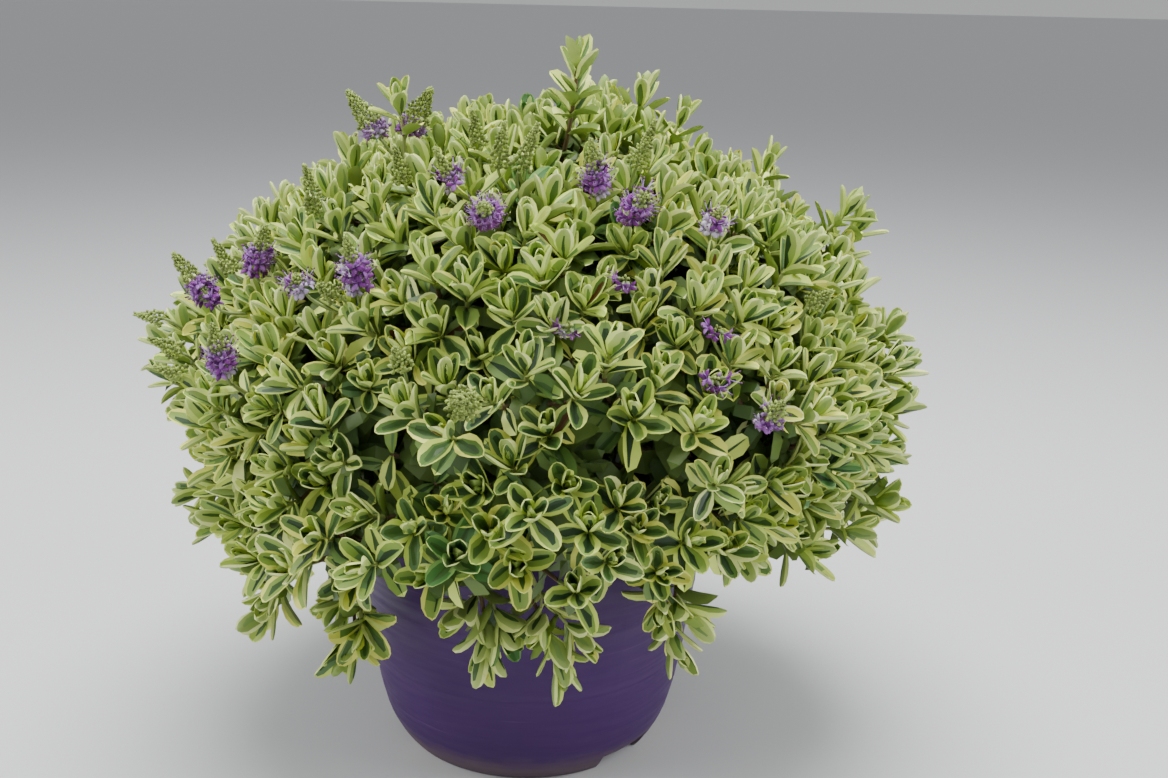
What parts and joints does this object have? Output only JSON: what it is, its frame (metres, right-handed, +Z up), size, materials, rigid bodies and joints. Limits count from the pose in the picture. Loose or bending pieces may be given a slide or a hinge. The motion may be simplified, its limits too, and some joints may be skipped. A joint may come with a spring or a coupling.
{
  "type": "potted hebe shrub",
  "caption": "Rounded evergreen shrub with cream-edged leaves and purple flower spikes, growing in a tapered purple plastic pot.",
  "frame": {"origin": "centre of the pot's flat underside, on the surface it stands on", "axes": "+Z straight up along the pot's axis; -Y towards the viewer of the side drawn as the front; +X to the right"},
  "size_m": [0.4689, 0.4581, 0.4229],
  "materials": {
    "pot_plastic": "satin, finely scuffed",
    "compost": "crumbly, matt",
    "bark": "matt, finely ringed",
    "foliage": "leathery leaves with a soft sheen"
  },
  "bodies": {
    "root": {"bough_1": "bark", "bough_2": "bark", "bough_3": "bark", "bough_4": "bark", "bough_5": "bark", "bough_6": "bark", "bough_centre": "bark", "branch_side_1": "bark", "branch_side_2": "bark", "branch_side_3": "bark", "branch_side_4": "bark", "branch_side_5": "bark", "branch_side_6": "bark", "branch_side_7": "bark", "branch_side_8": "bark", "branch_skirt_1": "bark", "branch_skirt_2": "bark", "branch_skirt_3": "bark", "branch_skirt_4": "bark", "branch_skirt_5": "bark", "branch_skirt_6": "bark", "foliage_side_1": "foliage", "foliage_side_2": "foliage", "foliage_side_3": "foliage", "foliage_side_4": "foliage", "foliage_side_5": "foliage", "foliage_side_6": "foliage", "foliage_side_7": "foliage", "foliage_side_8": "foliage", "foliage_skirt_1": "foliage", "foliage_skirt_2": "foliage", "foliage_skirt_3": "foliage", "foliage_skirt_4": "foliage", "foliage_skirt_5": "foliage", "foliage_skirt_6": "foliage", "foliage_top": "foliage", "foliage_upper_1": "foliage", "foliage_upper_2": "foliage", "foliage_upper_3": "foliage", "foliage_upper_4": "foliage", "foliage_upper_5": "foliage", "foliage_upper_6": "foliage", "pot": "pot_plastic", "soil": "compost", "stem": "bark"}
  },
  "joints": []
}
